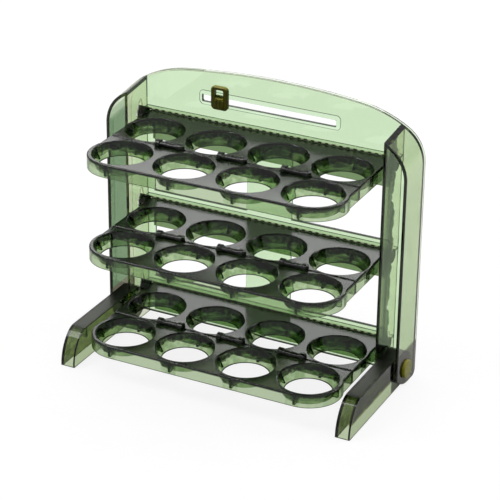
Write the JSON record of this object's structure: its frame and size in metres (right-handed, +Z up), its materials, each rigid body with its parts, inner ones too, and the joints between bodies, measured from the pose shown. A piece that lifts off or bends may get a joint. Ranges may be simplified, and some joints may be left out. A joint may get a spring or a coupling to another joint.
{
  "type": "fridge egg holder",
  "caption": "Clear plastic fridge stand with folding tiers of open egg cups on side columns, a sliding marker on the back panel and fold-up feet.",
  "frame": {"origin": "middle of the footprint, on the surface the holder stands on", "axes": "+X along the rows of cups, +Y towards the back panel, +Z up"},
  "size_m": [0.2556, 0.1192, 0.2203],
  "materials": {
    "frame_plastic": "clear green tinted plastic, polished",
    "tray_plastic": "clear dark green tinted plastic, polished",
    "foot_plastic": "clear green tinted plastic, polished",
    "olive_plastic": "olive plastic, slightly translucent"
  },
  "bodies": {
    "stand": {"main_frame": "frame_plastic", "foot_pin_left": "olive_plastic", "foot_pin_right": "olive_plastic"},
    "slider": {"date_slider": "olive_plastic"},
    "rear_half_bottom": {"tray_rear_bottom": "tray_plastic"},
    "front_half_bottom": {"tray_front_bottom": "tray_plastic", "fold_pins_bottom": "tray_plastic"},
    "rear_half_middle": {"tray_rear_middle": "tray_plastic"},
    "front_half_middle": {"tray_front_middle": "tray_plastic", "fold_pins_middle": "tray_plastic"},
    "rear_half_top": {"tray_rear_top": "tray_plastic"},
    "front_half_top": {"tray_front_top": "tray_plastic", "fold_pins_top": "tray_plastic"},
    "left_foot": {"foot_left": "foot_plastic"},
    "right_foot": {"foot_right": "foot_plastic"}
  },
  "joints": [
    {"name": "slider_slide", "type": "slide", "parent": "stand", "child": "slider", "axis": [1, 0, 0], "range_m": [-0.01, 0.0912]},
    {"name": "tray_flip_bottom", "type": "hinge", "parent": "stand", "child": "rear_half_bottom", "pos_m": [0, 0.045, 0.028], "axis": [-1, 0, 0], "range_deg": [0, 35]},
    {"name": "row_fold_bottom", "type": "hinge", "parent": "rear_half_bottom", "child": "front_half_bottom", "pos_m": [0, -0.00815, 0.03], "axis": [-1, 0, 0], "range_deg": [0, 180]},
    {"name": "tray_flip_middle", "type": "hinge", "parent": "stand", "child": "rear_half_middle", "pos_m": [0, 0.045, 0.103], "axis": [-1, 0, 0], "range_deg": [0, 35]},
    {"name": "row_fold_middle", "type": "hinge", "parent": "rear_half_middle", "child": "front_half_middle", "pos_m": [0, -0.00815, 0.105], "axis": [-1, 0, 0], "range_deg": [0, 180]},
    {"name": "tray_flip_top", "type": "hinge", "parent": "stand", "child": "rear_half_top", "pos_m": [0, 0.045, 0.178], "axis": [-1, 0, 0], "range_deg": [0, 45]},
    {"name": "row_fold_top", "type": "hinge", "parent": "rear_half_top", "child": "front_half_top", "pos_m": [0, -0.00815, 0.18], "axis": [-1, 0, 0], "range_deg": [0, 180]},
    {"name": "foot_fold_left", "type": "hinge", "parent": "stand", "child": "left_foot", "pos_m": [-0.1167, 0.04, 0.0136], "axis": [-1, 0, 0], "range_deg": [0, 90]},
    {"name": "foot_fold_right", "type": "hinge", "parent": "stand", "child": "right_foot", "pos_m": [0.1167, 0.04, 0.0136], "axis": [-1, 0, 0], "range_deg": [0, 90]}
  ]
}
